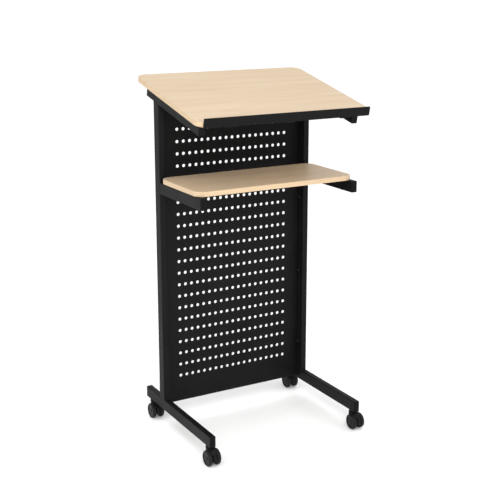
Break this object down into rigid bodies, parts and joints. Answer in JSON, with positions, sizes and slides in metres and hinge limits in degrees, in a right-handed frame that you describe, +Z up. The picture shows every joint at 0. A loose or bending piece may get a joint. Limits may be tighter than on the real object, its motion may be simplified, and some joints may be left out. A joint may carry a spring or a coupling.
{
  "type": "lectern stand",
  "caption": "Mobile lectern stand with a tilted reading board, a book stop, a shelf and a perforated back panel on swivel casters.",
  "frame": {"origin": "on the floor, under the middle of the object's bounding box", "axes": "+Z up, +Y from the speaker towards the audience, +X to the speaker's right"},
  "size_m": [0.6158, 0.5074, 1.1429],
  "materials": {
    "black_powder_coat": "fine satin powder coat",
    "maple_laminate": "pale maple laminate, satin",
    "maple_edge_band": "pale maple edge band, satin",
    "black_end_cap": "moulded polyethylene, matt",
    "caster_nylon": "moulded nylon, satin",
    "zinc_plated_steel": "zinc plated",
    "black_oxide_steel": "black oxide"
  },
  "bodies": {
    "frame": {"back_left_caster_stem": "black_oxide_steel", "back_right_caster_stem": "black_oxide_steel", "book_stop": "black_powder_coat", "book_stop_screws": "black_oxide_steel", "book_stop_tabs": "black_powder_coat", "caster_nuts": "zinc_plated_steel", "front_left_caster_stem": "black_oxide_steel", "front_right_caster_stem": "black_oxide_steel", "left_leg": "black_powder_coat", "left_leg_back_cap": "black_end_cap", "left_leg_front_cap": "black_end_cap", "left_panel_angle": "black_powder_coat", "left_post": "black_powder_coat", "left_shelf_arm": "black_powder_coat", "left_shelf_arm_cap": "black_end_cap", "left_top_arm": "black_powder_coat", "left_top_arm_back_cap": "black_end_cap", "left_top_arm_front_cap": "black_end_cap", "panel_screws": "black_oxide_steel", "perforated_panel": "black_powder_coat", "right_leg": "black_powder_coat", "right_leg_back_cap": "black_end_cap", "right_leg_front_cap": "black_end_cap", "right_panel_angle": "black_powder_coat", "right_post": "black_powder_coat", "right_shelf_arm": "black_powder_coat", "right_shelf_arm_cap": "black_end_cap", "right_top_arm": "black_powder_coat", "right_top_arm_back_cap": "black_end_cap", "right_top_arm_front_cap": "black_end_cap", "shelf_board": "maple_laminate", "shelf_edge_band": "maple_edge_band", "shelf_screws": "black_oxide_steel", "top_board": "maple_laminate", "top_board_screws": "black_oxide_steel", "top_edge_band": "maple_edge_band"},
    "front_left_caster": {"front_left_caster_hood": "caster_nylon", "front_left_caster_axle": "zinc_plated_steel"},
    "front_left_left_wheel": {"front_left_caster_left_wheel": "caster_nylon"},
    "front_left_right_wheel": {"front_left_caster_right_wheel": "caster_nylon"},
    "front_right_caster": {"front_right_caster_hood": "caster_nylon", "front_right_caster_axle": "zinc_plated_steel"},
    "front_right_left_wheel": {"front_right_caster_left_wheel": "caster_nylon"},
    "front_right_right_wheel": {"front_right_caster_right_wheel": "caster_nylon"},
    "back_left_caster": {"back_left_caster_hood": "caster_nylon", "back_left_caster_axle": "zinc_plated_steel"},
    "back_left_left_wheel": {"back_left_caster_left_wheel": "caster_nylon"},
    "back_left_right_wheel": {"back_left_caster_right_wheel": "caster_nylon"},
    "back_right_caster": {"back_right_caster_hood": "caster_nylon", "back_right_caster_axle": "zinc_plated_steel"},
    "back_right_left_wheel": {"back_right_caster_left_wheel": "caster_nylon"},
    "back_right_right_wheel": {"back_right_caster_right_wheel": "caster_nylon"}
  },
  "joints": [
    {"name": "front_left_swivel", "type": "hinge", "parent": "frame", "child": "front_left_caster", "pos_m": [-0.28685, -0.20595, 0.045], "axis": [0, 0, 1], "continuous": true},
    {"name": "front_left_left_wheel_spin", "type": "hinge", "parent": "front_left_caster", "child": "front_left_left_wheel", "pos_m": [-0.28685, -0.22795, 0.025], "axis": [1, 0, 0], "continuous": true},
    {"name": "front_left_right_wheel_spin", "type": "hinge", "parent": "front_left_caster", "child": "front_left_right_wheel", "pos_m": [-0.28685, -0.22795, 0.025], "axis": [1, 0, 0], "continuous": true},
    {"name": "front_right_swivel", "type": "hinge", "parent": "frame", "child": "front_right_caster", "pos_m": [0.24515, -0.20595, 0.045], "axis": [0, 0, 1], "continuous": true},
    {"name": "front_right_left_wheel_spin", "type": "hinge", "parent": "front_right_caster", "child": "front_right_left_wheel", "pos_m": [0.24515, -0.22795, 0.025], "axis": [1, 0, 0], "continuous": true},
    {"name": "front_right_right_wheel_spin", "type": "hinge", "parent": "front_right_caster", "child": "front_right_right_wheel", "pos_m": [0.24515, -0.22795, 0.025], "axis": [1, 0, 0], "continuous": true},
    {"name": "back_left_swivel", "type": "hinge", "parent": "frame", "child": "back_left_caster", "pos_m": [-0.28685, 0.19995, 0.045], "axis": [0, 0, 1], "continuous": true},
    {"name": "back_left_left_wheel_spin", "type": "hinge", "parent": "back_left_caster", "child": "back_left_left_wheel", "pos_m": [-0.28685, 0.17795, 0.025], "axis": [1, 0, 0], "continuous": true},
    {"name": "back_left_right_wheel_spin", "type": "hinge", "parent": "back_left_caster", "child": "back_left_right_wheel", "pos_m": [-0.28685, 0.17795, 0.025], "axis": [1, 0, 0], "continuous": true},
    {"name": "back_right_swivel", "type": "hinge", "parent": "frame", "child": "back_right_caster", "pos_m": [0.24515, 0.19995, 0.045], "axis": [0, 0, 1], "continuous": true},
    {"name": "back_right_left_wheel_spin", "type": "hinge", "parent": "back_right_caster", "child": "back_right_left_wheel", "pos_m": [0.24515, 0.17795, 0.025], "axis": [1, 0, 0], "continuous": true},
    {"name": "back_right_right_wheel_spin", "type": "hinge", "parent": "back_right_caster", "child": "back_right_right_wheel", "pos_m": [0.24515, 0.17795, 0.025], "axis": [1, 0, 0], "continuous": true}
  ]
}
